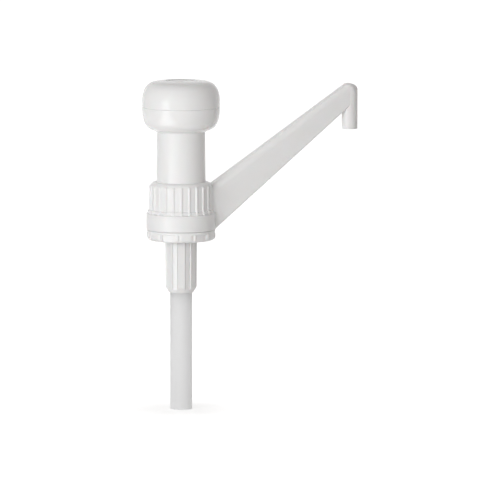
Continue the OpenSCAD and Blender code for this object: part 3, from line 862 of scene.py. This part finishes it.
# %% [markdown]
# The dip tube is plain extruded tube, cut square. Only its cut end shows its wall.
# %% Dip tube
tube_low, tube_high = (corner.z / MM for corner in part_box("dip_tube"))
TUBE_R = 8.5
TUBE_BORE_R = 6.75
suction_tube = turned("suction_tube", [
    (TUBE_BORE_R, tube_low, 0.25), (TUBE_R, tube_low, 0.3), (TUBE_R, tube_low + 30),
    (TUBE_R, tube_low + 60), (TUBE_R, tube_high, 0.3), (TUBE_BORE_R, tube_high, 0.25)], sides=96)
settle(suction_tube, "pump", "tube_plastic", "dip_tube")

# %% [markdown]
# The return spring is round steel wire with a closed turn at each end. The imported solid has six
# flat sides, so a round one takes its place. It rides on the pump's body and gets a mesh of its
# own.
# %% Return spring
spring_low, spring_high = (corner.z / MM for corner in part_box("return_spring"))
WIRE_R = 0.65
WIRE_SIDES = 14
COIL_R = 10
COILS = 8
COIL_STEPS = 40
END_PITCH = 1.8
rise = spring_high - spring_low - 2 * WIRE_R
pitch = (rise - 2 * END_PITCH) / (COILS - 2)
spring_path = []
for i in range(COILS * COIL_STEPS + 1):
    t = i / COIL_STEPS
    closed_turns = min(t, 1) + max(t - COILS + 1, 0)
    open_turns = max(min(t, COILS - 1) - 1, 0)
    height = closed_turns * END_PITCH + open_turns * pitch
    spring_path.append((COIL_R, spring_low + WIRE_R + height, 2 * math.pi * t))
round_wire = [(WIRE_R * math.cos(a), WIRE_R * math.sin(a))
              for a in np.arange(WIRE_SIDES) * 2 * math.pi / WIRE_SIDES]
lift_spring = swept("lift_spring", spring_path, lambda i: round_wire, sharp=60)
settle(lift_spring, "pump", "steel", "return_spring")
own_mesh(lift_spring)

# %% [markdown]
# The picture's ground is plain white. A pale floor lies just under the dip tube and keeps the
# pump's shadow. It and the world show white to the camera and in reflections, and light the pump
# at their own plain level, so the ground is white without flooding the pump with light. Within
# 80 mm of the axis more of the floor's own lit surface shows, which keeps a soft shadow round the
# tube's foot. Further out it goes over into plain white, so the ground has no edge.
# %% Floor and ground
def seen_directly(tree):
    """1 for rays from the camera, a reflection or through glass, and 0 for lighting."""
    kinds = [tree.node("ShaderNodeLightPath", out=kind)
             for kind in ("Is Camera Ray", "Is Glossy Ray", "Is Transmission Ray")]
    return tree.maths("MINIMUM", kinds[0] + kinds[1] + kinds[2], 1.0)


def pale_floor():
    made = bpy.data.materials.new("pale_floor")
    tree = new_tree(made)
    paper = noise(tree, in_mm(tree), 40, 3)
    colour = between(tree, (0.86, 0.86, 0.855), (0.9, 0.9, 0.895), paper)
    lit = tree.node("ShaderNodeBsdfDiffuse", None, {"Color": colour})
    glow = tree.node("ShaderNodeEmission", None, {"Color": (1, 1, 1, 1), "Strength": 1.32})
    away = tree.node("ShaderNodeVectorMath", {"operation": "LENGTH"}, {0: in_mm(tree)}, out="Value")
    share = tree.node("ShaderNodeMapRange", {"interpolation_type": "SMOOTHSTEP"},
                      {"Value": away, "From Min": 10, "From Max": 80,
                       "To Min": 0.52, "To Max": 0.8})
    surface(tree, tree.node("ShaderNodeMixShader", None,
                            {0: seen_directly(tree) * share, 1: lit, 2: glow}))
    return made


FLOOR_GAP = 0.3 * MM
bpy.ops.mesh.primitive_circle_add(vertices=96, radius=4, fill_type="NGON",
                                  location=(0, 0, cad_low.z - FLOOR_GAP))
floor = bpy.context.object
floor.name = "floor"
floor.data.materials.append(pale_floor())

world = bpy.data.worlds.new("studio")
scene.world = world
tree = new_tree(world)
light = tree.node("ShaderNodeBackground", None, {"Color": (1, 0.953, 0.925, 1), "Strength": 0.295})
white = tree.node("ShaderNodeBackground", None, {"Color": (1, 1, 1, 1), "Strength": 1.0})
both_worlds = tree.node("ShaderNodeMixShader", None, {0: seen_directly(tree), 1: light, 2: white})
tree.node("ShaderNodeOutputWorld", None, {"Surface": both_worlds})
print("floor at", round(floor.location.z / MM, 1), "mm")

# %% [markdown]
# The light in the photograph comes from the left, low and wide: nothing under the knob or the ring
# lies in shadow, and the right side of everything round falls into a warm grey. So the main lamp is
# wide and low. A small near one fills in from the camera's side, so that the collar casts no shadow
# on the arm's root, one above lifts the knob's crown, and two behind keep those sides readable.
# Seen in the gloss, lamps that bright would burn out spots. They are hidden from reflections, which
# show two large dim boxes at the left instead, one upright and one on the floor. These light
# nothing else, and draw the pale band down the knob.
# %% Lamps
def soft_lamp(name, azimuth, elevation, distance, width, height, power,
              colour=(1, 1, 1), mirrored=False):
    """An area lamp aimed at the pump, which either lights it or only shows in its gloss."""
    a, e = math.radians(azimuth), math.radians(elevation)
    out = Vector((math.sin(a) * math.cos(e), -math.cos(a) * math.cos(e), math.sin(e)))
    lamp = bpy.data.lights.new(name, "AREA")
    lamp.shape = "RECTANGLE"
    lamp.size, lamp.size_y = width, height
    lamp.energy = power
    lamp.color = colour
    made = bpy.data.objects.new(name, lamp)
    made.location = out * distance
    made.rotation_mode = "QUATERNION"
    made.rotation_quaternion = (-out).to_track_quat("-Z", "Y")
    made.visible_glossy = mirrored
    made.visible_diffuse = not mirrored
    scene.collection.objects.link(made)
    return made


soft_lamp("key", -51, 9, 1.4, 0.9, 0.55, 7.2, (0.965, 0.988, 1))
soft_lamp("front", -16, 8, 0.7, 0.5, 0.3, 0.9, (1, 0.995, 0.99))
soft_lamp("top", -40, 62, 1.3, 0.6, 0.6, 1.4)
soft_lamp("rim", 138, 14, 1.5, 0.5, 0.55, 3.6, (1, 0.965, 0.945))
soft_lamp("back", 202, 14, 1.5, 0.5, 0.55, 4.2, (1, 0.975, 0.96))
BOX_AZIMUTH = -61
soft_lamp("upright_box", BOX_AZIMUTH, 1.1, 1.4, 0.5, 0.35, 1.3, mirrored=True)
floor_box = soft_lamp("floor_box", BOX_AZIMUTH, 0, 0.9, 0.36, 1.3, 3.6, mirrored=True)
floor_box.location.z = floor.location.z + 2 * MM
floor_box.rotation_mode = "XYZ"
floor_box.rotation_euler = (math.pi, 0, math.radians(BOX_AZIMUTH))
